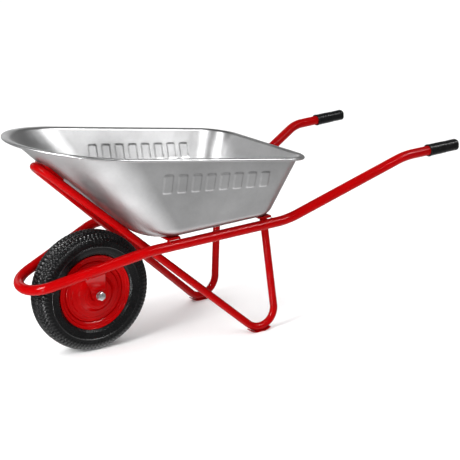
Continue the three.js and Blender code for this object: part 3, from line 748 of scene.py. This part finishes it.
def tray_skin(offset):
    """Rings of one skin of the sheet, from the floor up the wall and round the curled edge."""
    rings = []
    for level, inset, lift, share in tray_section(offset):
        ring = outline_points(FLOOR, inset) * (1 - level) + outline_points(RIM, inset) * level
        ring[:, 2] += lift
        if share > 0:
            side = np.where(np.abs(ring[:, 1]) > RIB_SIDE, np.sign(ring[:, 1]), 0)
            ring[:, 1] += press(ring[:, 0], share) * side
        rings.append(ring)
    return rings


def tray():
    """The pressed sheet, as an outer and an inner skin that close over the floor."""
    outside, inside = tray_skin(0), tray_skin(SHEET)

    def fan(ring, lift):
        """Rings from the floor's edge to its middle."""
        middle = np.array([(FLOOR["front"] + FLOOR["rear"]) / 2, 0.0])
        rings = []
        for t in np.linspace(0, 1, FAN_ROWS + 2)[1:-1]:
            inner = ring.copy()
            inner[:, :2] = ring[:, :2] * (1 - t) + middle * t
            inner[:, 2] = level_z(FLOOR, inner[:, 0]) + lift
            rings.append(inner)
        return rings

    rings = fan(outside[0], 0)[::-1] + outside + inside[::-1] + fan(inside[0], SHEET)
    return np.vstack(rings), capped_faces(len(rings), len(STATIONS))


make("tray_shell", *tray(), ZINC_SHEET, ["tray"], 50)

# ---- cross-members, brace plate

# How far in from a channel's end its flap reaches, and the flap's size beside the channel's.
FLAP_FROM, FLAP_TO, FLAP_SIZE = 3.2, 0.8, 0.99


def rail_at(x):
    """The point with this X on the middle line of the right rail."""
    return on_line(MAIN_CORNERS[3], MAIN_CORNERS[2], x)


def rail_top(x):
    return rail_at(x)[2] + MAIN_RADIUS


def cross_member(x):
    """A folded channel across the rails, open below, with a flap closing each end."""
    tilt = atan(FLOOR["slope"])
    foot = np.array([x, rail_top(x) + RAIL_GAP])
    turn = np.array([[cos(tilt), sin(tilt)], [-sin(tilt), cos(tilt)]])

    def arch(half, height):
        return [(half, 0), (half, height), (-half, height), (-half, 0)]

    half, height = CHANNEL_WIDTH / 2, CHANNEL_HEIGHT
    outer = rounded(arch(half, height), 3.4, 5, False)
    inner = rounded(arch(half - CHANNEL_SHEET, height - CHANNEL_SHEET)[::-1], 1.2, 4, False)
    parts = [plate(foot + np.vstack([inner, outer]) @ turn, -CHANNEL_HALF, CHANNEL_HALF)]
    for end in (-1, 1):
        low, high = sorted((end * (CHANNEL_HALF - FLAP_FROM), end * (CHANNEL_HALF - FLAP_TO)))
        parts.append(plate(foot + outer * FLAP_SIZE @ turn, low, high))
    return merged(parts)


for name, x in CHANNELS.items():
    make(f"{name}_channel", *cross_member(x), RED, [name], 40, 0.5)

wall_low, wall_high = (np.array([o["front"], 0, level_z(o, o["front"])]) for o in (FLOOR, RIM))
wall_up = unit(wall_high - wall_low)
wall_out = np.array([-wall_up[2], 0, wall_up[0]])
plate_centre = on_line(wall_low, wall_high, PLATE_X)


def brace_plate():
    """A plate with rounded corners between the brace crossover and the tray's front wall."""
    outline = rounded(rectangle(PLATE_HALF, PLATE_LENGTH / 2), 9, 6)
    flat, faces = plate(outline, SHEET, SHEET + PLATE_SHEET)
    return plate_centre + flat @ np.array([[0, 1, 0], wall_out, wall_up]), faces


make("brace_plate_pressing", *brace_plate(), RED, ["brace_plate"], 40, 0.6)

# ---- fasteners

PIN = 0.001  # radius of a closed end's innermost ring, small enough to merge into a point
GAP = 0.3  # between the parts of a stack
BOLT_RADIUS, HEAD_RADIUS, HEAD_HEIGHT, BOLT_PAST = 4, 9, 4.2, 2.0
WASHER_SHEET, NUT_FLATS, NUT_HEIGHT = 1.6, 13, 5.8


def hex_body(flats, height, bore=0):
    """A hexagon along Y from 0 to its height: a nut, or a bolt's head if it has no bore."""
    turn = turns(72)
    edge = flats / 2 / np.cos((turn + pi / 6) % (pi / 3) - pi / 6)
    face = flats / 2 * 0.94
    drop = np.maximum(0, edge - face) * tan(radians(30))
    between = face + (edge - face) * 0.5
    top = [(face, height), (between, height - drop * 0.45), (edge, height - drop)]
    if bore:
        rings = [(bore, height * 0.5), (bore, height - 0.8), (bore + 0.7, height), *top]
        rings += [(edge, drop), (between, drop * 0.45), (face, 0), (bore + 0.7, 0), (bore, 0.8)]
    else:
        rings = [(PIN, height), *top, (edge, 0), (face, 0), (PIN, 0)]
    faces = grid_faces(len(rings), len(turn), bool(bore), True)
    return np.vstack([spun(radius, level, turn) for radius, level in rings]), faces


def threaded(radius, low, high, pitch, around):
    """A threaded rod along Y, closed at both ends."""
    levels = np.linspace(low, high, max(4, int((high - low) / pitch * 6)))[:, None]
    turn = turns(around)
    phase = (levels / pitch + turn / (2 * pi)) % 1
    fade = np.clip((high - levels) / (0.8 * pitch), 0, 1)
    r = radius - pitch * 0.55 * np.abs(phase * 2 - 1) * 0.9 * fade - (1 - fade) * pitch * 0.6
    return spun(r, levels, turn).reshape(-1, 3), capped_faces(len(levels), around)


def sleeve(bore, radius, low, high, edge):
    """A ring along Y, or a plain pin if its bore is closed."""
    outline = [(bore, low), (radius, low), (radius, high), (bore, high)]
    return lathe(rounded(outline, edge, 3), 48, 0)


def fastener(name, position, inward, stack):
    """A domed bolt through the tray, with its washer and nut below."""
    head, washer_top = SHEET + GAP, -stack - GAP
    nut_top = washer_top - WASHER_SHEET - GAP
    end = nut_top - NUT_HEIGHT - BOLT_PAST
    dome = [
        (HEAD_RADIUS * sin(t), head + HEAD_HEIGHT * cos(t) ** 0.8)
        for t in np.linspace(0.02, pi / 2, 14)
    ]
    shank = [(HEAD_RADIUS, head), (BOLT_RADIUS, head), (BOLT_RADIUS, end), (PIN / 2, end)]
    body = lathe([(PIN / 2, head + HEAD_HEIGHT), *dome, *shank], 40, 0)
    pieces = {
        "bolt": merged([body, threaded(BOLT_RADIUS + 0.05, end, nut_top + 0.5, 1.25, 28)]),
        "washer": sleeve(4.3, HEAD_RADIUS, washer_top - WASHER_SHEET, washer_top, 0.35),
        "nut": facing(hex_body(NUT_FLATS, NUT_HEIGHT, 4.1), RIGHT, nut_top - NUT_HEIGHT),
    }
    for kind, (verts, faces) in pieces.items():
        placed = aim(verts, inward, position)
        make(f"{name}_{kind}_fine", placed, faces, ZINC, [f"{name}_{kind}"], 30)


floor_up = unit(np.array([-FLOOR["slope"], 0, 1]))
for row_name, x in FLOOR_BOLTS.items():
    z = level_z(FLOOR, x)
    under = rail_top(x) + RAIL_GAP + CHANNEL_HEIGHT - CHANNEL_SHEET
    for hand, side in SIDES:
        spot = (x, side * FLOOR_BOLT_SIDE, z)
        fastener(f"{row_name}_{hand}_tray", spot, floor_up, z - under)
for hand, side in SIDES:
    spot = plate_centre + [0, side * PLATE_BOLT_SIDE, 0]
    fastener(f"{hand}_brace", spot, -wall_out, PLATE_SHEET + SHEET)

# ---- axle brackets

BRACKET_SHEET, BRACKET_FACE, FOLD, FOLD_HALF = 5, 64.5, 17.5, 4.0
BRACKET_COLS, DENTS = 25, (-15, 5)
LEAN = (0.683, 0.730)
BOTTOM = (-4, -35.5)
FRONT_EDGE = [(-14, -35.5), (-27, -21.5), (-30, 0)]
REAR_EDGE = [(7, -35.5), (19, -23.5), (19, 0)]
TOP_FRONT, TOP_REAR = (-79, 90), (-19, 113)


def bracket_rows():
    """Ends of rows across the flat bracket, level below the fold and slanted to its top above."""
    edges = [rounded([BOTTOM, *edge], 9, 6, False) for edge in (FRONT_EDGE, REAR_EDGE)]
    curved = BOTTOM[1] + 9 * np.linspace(0, 1, 10) ** 2
    levels = np.concatenate([curved, np.linspace(-25, -6, 14), np.linspace(-5, 0, 6)])
    rows = [[(np.interp(v, edge[:, 1], edge[:, 0]), v) for edge in edges] for v in levels]
    slants = ((FRONT_EDGE[-1], TOP_FRONT), (REAR_EDGE[-1], TOP_REAR))
    for t in np.concatenate([np.linspace(0.01, 0.08, 7), np.linspace(0.11, 1, 26)]):
        rows.append([(a[0] + (b[0] - a[0]) * t, a[1] + (b[1] - a[1]) * t) for a, b in slants])
    return rows


def bracket(side):
    """A plate folded over towards the fork tube, with a pressed fold and two dents below it."""
    near, far, rows, cols = [], [], bracket_rows(), BRACKET_COLS
    for (x1, v1), (x2, v2) in rows:
        for t in np.linspace(0, 1, cols):
            x, v = x1 + (x2 - x1) * t, v1 + (v2 - v1) * t
            lean = atan2(*LEAN) * float(smoothstep(-FOLD_HALF, FOLD_HALF, v))
            normal = np.array([0, side * cos(lean), -sin(lean)])
            past = max(v, 0)
            softened = 0.22 * FOLD_HALF * (1 - min(abs(v) / FOLD_HALF, 1)) ** 2
            out = BRACKET_FACE + BRACKET_SHEET / 2 + LEAN[0] * past + softened
            z = AXLE_Z + FOLD + LEAN[1] * past + min(v, 0) - softened * 0.4
            point = np.array([x, side * out, z])
            dents = sum(exp(-(((x - at) / 2.6) ** 2 + ((v + 9) / 2.0) ** 2)) for at in DENTS)
            ridge = exp(-((v / 2.2) ** 2))
            near.append(point + normal * (BRACKET_SHEET / 2 + 0.6 * ridge - 0.5 * dents))
            far.append(point - normal * (BRACKET_SHEET / 2))
    count, size = len(rows), len(near)
    faces = grid_faces(count, cols) + grid_faces(count, cols, start=size)
    border = list(range(cols)) + [r * cols + cols - 1 for r in range(1, count)]
    border += [size - cols + c for c in range(cols - 2, -1, -1)]
    border += [r * cols for r in range(count - 2, 0, -1)]
    faces += [[a, b, b + size, a + size] for a, b in zip(border, border[1:] + border[:1])]
    return np.array(near + far), faces


for hand, side in SIDES:
    replaced = [f"{hand}_axle_bracket"]
    make(f"{hand}_bracket", *bracket(side), RED, replaced, 40, 0.5)

# ---- axle

BORE, SPACER, PLATE_OUTER, AXLE_RADIUS, AXLE_FLATS = 8.3, 11, 69.5, 8, 24
WASHER_FACE = PLATE_OUTER + GAP + 2.5
NUT_FACE = WASHER_FACE + GAP


def axle_piece(name, part):
    verts, faces = part
    make(f"{name}_fine", verts + [0, 0, AXLE_Z], faces, ZINC, [name], 30)


head = facing(hex_body(AXLE_FLATS, 10), LEFT, NUT_FACE)
shank = sleeve(PIN, AXLE_RADIUS, -72, 70, 0.3)
axle_piece("axle_bolt", merged([head, shank, threaded(AXLE_RADIUS, 68, 89.6, 2.0, 40)]))
axle_piece("axle_nut", facing(hex_body(AXLE_FLATS, 13, AXLE_RADIUS + 0.1), RIGHT, NUT_FACE))
for hand, side in SIDES:
    washer = sleeve(BORE, 14, PLATE_OUTER + GAP, WASHER_FACE, 0.35)
    axle_piece(f"{hand}_axle_washer", facing(washer, side))
    axle_piece(f"{hand}_axle_spacer", facing(sleeve(BORE, SPACER, 56.3, 64.2, 0.5), side))

# ---- wheel

# Outlines of [radius, distance from the wheel's middle plane].
HALF_BARREL = [
    (97.5, 0), (97.5, 9), (101.6, 14), (101.6, 27.4), (104, 29.1), (110.4, 29.6), (113.6, 33.4),
    (118.4, 34.2), (120.9, 36), (121.4, 38.4), (119.2, 38.4), (117.6, 36.2), (112.4, 35.4),
    (109.6, 31.6), (103.4, 31.0), (99.6, 28.5), (99.6, 15), (95.5, 10), (95.5, 0),
]
DISC = [
    (22.4, 58.0), (27, 58.8), (38, 58.5), (47, 55.6), (54, 48.5), (60, 43), (67, 40.2), (80, 37),
    (83.5, 32.2), (90, 30.6), (95.2, 31.2), (99.1, 27), (99.1, 17), (97.1, 17), (97.1, 26),
    (94.3, 28.9), (82.3, 29.8), (78.8, 35), (58.8, 41), (52.5, 46.5), (46, 53.4), (37.4, 56.2),
    (22.4, 56.0),
]
HUB = [(19.3, -59), (22, -59), (22, 59), (19.3, 59)]
SEAL = [
    (11.9, 56.3), (19, 56.3), (19, 58.3), (16.5, 58.3), (15.8, 57.7), (13.6, 57.7), (13.0, 58.3),
    (11.9, 58.3),
]


def wheel_piece(name, profile, segments, finish, replaced, radius, steps=4):
    verts, faces = lathe(rounded(profile, radius, steps), segments)
    make(name, verts, faces, finish, [replaced], 40, body="wheel")


def mirrored(profile):
    """The points of a profile at its other side, in reverse."""
    return [(r, -y) for r, y in reversed(profile)]


barrel = HALF_BARREL + mirrored(HALF_BARREL[1:-1])
wheel_piece("rim_barrel", barrel, 144, RED, "wheel_rim", 1.6)
for hand, side in SIDES:
    disc = [(r, side * y) for r, y in DISC]
    wheel_piece(f"{hand}_disc", disc, 144, RED, f"{hand}_wheel_disc", 3.4, 5)
wheel_piece("hub", HUB, 72, RED, "hub_tube", 0.6)
for hand, side in SIDES:
    seal = [(r, side * y) for r, y in SEAL]
    wheel_piece(f"{hand}_seal", seal, 72, RUBBER, f"{hand}_bearing_seal", 0.35)

# ---- tyre

TREAD_PITCHES, PITCH_SEGMENTS, TREAD_DEPTH = 86, 9, 3.8
# Middle and sway of each zigzag groove to the side of the central one.
GROOVES = ((8.0, 1.0), (16.5, -1.0), (25.0, 1.0), (35.5, -0.7))
LANE_WIDTH, CROWN_EDGE, SHOULDER_EDGE = 8.4, 25, 35.5
# Radius, half-width and height of each raised line on the sidewall.
SIDEWALL_RINGS = ((151.5, 1.1, 1.7), (129.5, 1.3, 1.1))
TYRE_OUTER = [
    (194.6, 0), (194.0, 14), (191.6, 27), (186.5, 37.5), (178.5, 44), (168, 47), (156, 48.2),
    (146, 47.8), (134, 45.2), (127, 41.8), (122.9, 37.6), (120.4, 34.3), (114, 33.1), (111, 29.3),
    (104.6, 28.8), (102.6, 26.6), (102.6, 21),
]
TYRE_INNER = [(106, 24.5), (128, 34), (152, 41.8), (174, 35), (183.5, 0)]


def tyre_profile():
    """The tyre's outline as dense points: its outer skin from side to side, then its inner one."""
    def dense(points, radius, spacing):
        line = rounded(points, radius, 6, False)
        along = lengths(line)
        return resampled(line, along, np.linspace(0, along[-1], int(along[-1] / spacing)))

    line = dense(mirrored(TYRE_OUTER[1:]) + TYRE_OUTER, 30, 0.5)
    step = np.where(line[:, 0] > 163, 2.0, 3.6)
    for middle, width, _ in SIDEWALL_RINGS:
        step = np.where(np.abs(line[:, 0] - middle) < 2.5 * width, 0.9 * width, step)
    along = np.cumsum([0, *(np.diff(lengths(line)) / (0.5 * (step[1:] + step[:-1])))])
    outer = resampled(line, along, np.linspace(0, along[-1], int(along[-1])))
    return outer, dense(TYRE_INNER + mirrored(TYRE_INNER[:-1]), 12, 14)


def tread_relief(turn, across, radius):
    """How far the tyre stands out, at a turn counted in pitches and a distance across the tyre."""
    side = np.abs(across)

    def blocks(phase, groove):
        return smoothstep(groove, groove + 0.16, 1 - np.abs(phase % 1 - 0.5) * 2)

    wave = 1.6 * np.sin(turn * 2 * pi)
    lanes = smoothstep(0.4, 1.9, side + 0.4 * wave)
    for middle, sway in GROOVES:
        lanes = np.minimum(lanes, smoothstep(0.4, 1.8, np.abs(side - middle + sway * wave)))
    crown = blocks(turn + 0.5 * np.floor(side / LANE_WIDTH) + 0.05 * side, 0.10)
    shoulder = blocks(turn + 0.5 * (side > SHOULDER_EDGE) + 0.04 * side, 0.22)
    relief = lanes * np.where(side < CROWN_EDGE, crown, shoulder) - 1
    return TREAD_DEPTH * relief * smoothstep(48, 42, side) * smoothstep(166, 174, radius)


def tyre():
    """The tyre with its tread, raised sidewall lines and small lugs, down to the ground."""
    outer, inner = tyre_profile()
    segments = TREAD_PITCHES * PITCH_SEGMENTS
    turn = np.arange(segments)[:, None] / segments
    pitch = turn * TREAD_PITCHES
    ahead = np.gradient(outer, axis=0)
    normal = np.stack([ahead[:, 1], -ahead[:, 0]], -1)
    normal = normal / np.linalg.norm(normal, axis=1)[:, None]
    normal *= np.sign(normal[len(outer) // 2, 0])
    radius, across = outer.T
    out = tread_relief(pitch, across, radius)
    for middle, width, height in SIDEWALL_RINGS:
        out = out + height * np.exp(-(((radius - middle) / width) ** 2)) * (np.abs(across) > 30)
    lugs = smoothstep(0.4, 0.6, 1 - np.abs(pitch % 1 - 0.5) * 2)
    lugs = lugs * smoothstep(163, 166, radius) * smoothstep(180, 174, radius)
    out = out + 0.9 * lugs * (np.abs(across) > 38)
    r = np.minimum(radius + normal[:, 0] * out, AXLE_Z - GROUND_Z * 1000)
    y = across + normal[:, 1] * out
    inner_r, inner_y = (np.broadcast_to(part, (segments, len(inner))) for part in inner.T)
    r, y = np.hstack([r, inner_r]), np.hstack([y, inner_y])
    verts = spun(r, y, turn * 2 * pi).reshape(-1, 3) + [0, 0, AXLE_Z]
    return verts, grid_faces(segments, r.shape[1], True, True)


make("tyre_moulded", *tyre(), TYRE, ["tyre"], 60, body="wheel")

# ---- valve

VALVE_Z, VALVE_FOOT_Z = AXLE_Z - 88, AXLE_Z - 116
VALVE_CAP = [
    (PIN, 38.4), (3.9, 38.4), (4.5, 38.9), (4.6, 40), (4.6, 46.6), (4.2, 47.7), (3.0, 48.2),
    (PIN, 48.2),
]


def valve():
    """A rubber stem from the tube through the rim, bent out to the side and narrower at its end."""
    path = bent_path([(0, 0, VALVE_FOOT_Z), (0, 0, VALVE_Z), (0, 38, VALVE_Z)], [9], 0.7, 2)
    along = lengths(path)
    scale = 1 - 0.18 * smoothstep(0.62, 0.7, along / along[-1])
    scale = scale - 0.08 * (np.sin(along * 2.2) > 0.4) * (along > along[-1] * 0.72)
    return sweep(path, ring_section(4.0, 28), scale)


def valve_cap():
    """A round cap with fine grooves round its side."""
    turn = turns(96)
    grooves = 0.25 * (np.sin(turn * 24) > 0)
    rings = [spun(r - (grooves if 39.5 < y < 47 else 0), y, turn) for r, y in VALVE_CAP]
    return np.vstack(rings) + [0, 0, VALVE_Z], grid_faces(len(rings), 96, False, True)


make("valve_stem_fine", *valve(), RUBBER, ["valve_stem"], 40, body="wheel")
make("valve_cap_fine", *valve_cap(), RUBBER, ["valve_cap"], 30, body="wheel")

# ---- grips

END_ROUND, BODY_WIDTH, BODY_HEIGHT, SQUARE = 7, 18.1, 19.0, 0.9
RIB_STEP, RIB_RISE, RIBS_FROM, RIBS_TO = 5.2, 0.4, 14, 106
# Distance from the open end, half-width, half-height and squareness of the bore and collar rings.
COLLAR = (
    *((at, 16.6, 16.6, 0) for at in (100, 60, 30, 8, 2.5)),
    (0.8, 17.0, 17.0, 0), (0.0, 17.6, 17.8, 0.3), (0.0, 18.6, 19.4, 0.7), (0.5, 19.1, 20.0, 0.8),
    (1.5, 19.4, 20.2, 0.85), (5.0, 19.4, 20.2, 0.85), (6.2, 19.1, 19.9, 0.85),
    (7.0, 18.0, 18.9, 0.85), (9.0, 17.7, 18.7, 0.85),
)


def grip(side):
    """A moulded sleeve: a collar, ribs across its body, and a rounded closed end."""
    direction = on_side(HANDLE, side)
    sideways = unit(np.cross((0, 0, 1), direction))
    upward = np.cross(direction, sideways)
    start = on_side(GRIP_END, side) - direction * GRIP_LENGTH
    turn = turns(64)
    corner = 2.9
    shape = (np.abs(np.cos(turn)) ** corner + np.abs(np.sin(turn)) ** corner) ** (-1 / corner)
    rings = [np.tile(start + direction * 100, (64, 1))]

    def ring(at, half_width, half_height, squareness):
        r = (1 - squareness) + shape * squareness
        u, v = half_width * r * np.cos(turn), half_height * r * np.sin(turn)
        rings.append(start + direction * at + u[:, None] * sideways + v[:, None] * upward)

    for row in COLLAR:
        ring(*row)
    for at in np.arange(10, GRIP_LENGTH - END_ROUND - 1, 0.5):
        wave = 0.5 + 0.5 * cos((at - RIBS_FROM) / RIB_STEP * 2 * pi)
        rib = RIB_RISE * wave ** 3 if RIBS_FROM <= at <= RIBS_TO else 0.0
        waist = 0.9 * exp(-(((at - 88) / 22) ** 2))
        ring(at, BODY_WIDTH + rib - waist * 0.6, BODY_HEIGHT + rib - waist, SQUARE)
    end = GRIP_LENGTH - 0.4
    for t in np.linspace(0, pi / 2, 12):
        shrink = 1 - END_ROUND / 18 * (1 - cos(t))
        at = end - END_ROUND * (1 - sin(t))
        ring(at, BODY_WIDTH * shrink, BODY_HEIGHT * shrink, SQUARE)
    for share in (0.6, 0.3, PIN):
        shrink = (1 - END_ROUND / 18) * share
        ring(end + 0.3 * (1 - share), BODY_WIDTH * shrink, BODY_HEIGHT * shrink, SQUARE)
    return np.vstack(rings), grid_faces(len(rings), 64, False, True)


for hand, side in SIDES:
    replaced = [f"{hand}_grip"]
    make(f"{hand}_grip_moulded", *grip(side), GRIP_PLASTIC, replaced, 50)

# ---- welds


def circle_at(centre, direction, radius):
    """Points round a circle with the given normal."""
    return aim(spun(radius, 0, turns(40)), direction, centre)


def bracket_weld_line(side, skin):
    """Points where one skin of a bracket meets the fork tube."""
    fork = [on_side(MAIN_CORNERS[k], side) for k in (3, 4)]
    lean, across = np.array([0, side * LEAN[0], LEAN[1]]), np.array([0, side * LEAN[1], -LEAN[0]])
    line = []
    for t in np.linspace(0.06, 0.94, 14):
        x = -18 + (-81 + 18) * t
        base = np.array([x, side * (BRACKET_FACE + BRACKET_SHEET / 2), AXLE_Z + FOLD])
        offset = on_line(*fork, x) - base
        aside = offset @ across - skin * BRACKET_SHEET / 2
        height = offset @ lean - sqrt(max(0, MAIN_RADIUS ** 2 - aside ** 2))
        line.append(base + lean * height + across * skin * 2.9)
    return line


def frame_welds():
    """Beads round the tops of the legs, along the cross-members and up the axle brackets."""
    parts = []
    for number, (_, side) in enumerate(SIDES):
        top = on_side(LEG_CORNERS[0], side)
        down = unit(on_side(LEG_CORNERS[1], side) - top)
        circle = circle_at(top + down * 0.4, down, LEG_RADIUS - 0.2)
        parts.append(weld(circle, 2.3, 10 + number, True))
        for x in CHANNELS.values():
            y, z = side * rail_at(x)[1], rail_top(x) + 0.4
            for edge in (-1, 1):
                ex = x + edge * (CHANNEL_WIDTH / 2 + 0.6)
                across = np.linspace(-11, 11, 12)
                line = [(ex, y + side * t, z - 0.35 - t ** 2 / 34) for t in across]
                parts.append(weld(line, 2.0, 20 + int(x) + number))
        for skin in (-1, 1):
            parts.append(weld(bracket_weld_line(side, skin), 2.2, 40 + number * 2 + skin))
    return merged(parts)


def brace_plate_welds():
    """A bead to each side of the middle, between the brace crossover and its plate."""
    above = leg_path[(leg_path[:, 0] < PLATE_X + 22) & (np.abs(leg_path[:, 1]) < 60)]
    distance = (above - plate_centre) @ wall_out
    line = above - wall_out * (distance - SHEET - PLATE_SHEET - 1.4)[:, None]
    line = line[np.abs((line - plate_centre) @ wall_up) < PLATE_LENGTH / 2 - 1]
    parts = []
    for side in (-1, 1):
        chosen = line[side * line[:, 1] > 20]
        parts.append(weld(chosen + [0, -side * 4.0, 0], 2.4, 70 + side))
    return merged(parts)


def skid_welds():
    """Two beads along each skid plate, under the tube."""
    parts = []
    for number, (_, side) in enumerate(SIDES):
        path, bottom = foot_path(side, 2.0, 12), foot_lowest(side)
        near = path[np.linalg.norm(path - bottom, axis=1) < 24]
        for edge in (-1, 1):
            line = []
            for p in near:
                down = unit(np.array([p[0] - bottom[0], 0, p[2] - (bottom[2] + LEG_RADII[0])]))
                line.append(p + down * (LEG_RADIUS - 1.6) + [0, edge * 6.0, 0])
            parts.append(weld(line, 1.5, 80 + number * 2 + edge))
    return merged(parts)


make("frame_weld_beads", *frame_welds(), RED, (), 60)
make("skid_weld_beads", *skid_welds(), RED, (), 60)
make("brace_weld_beads", *brace_plate_welds(), RED, (), 60)
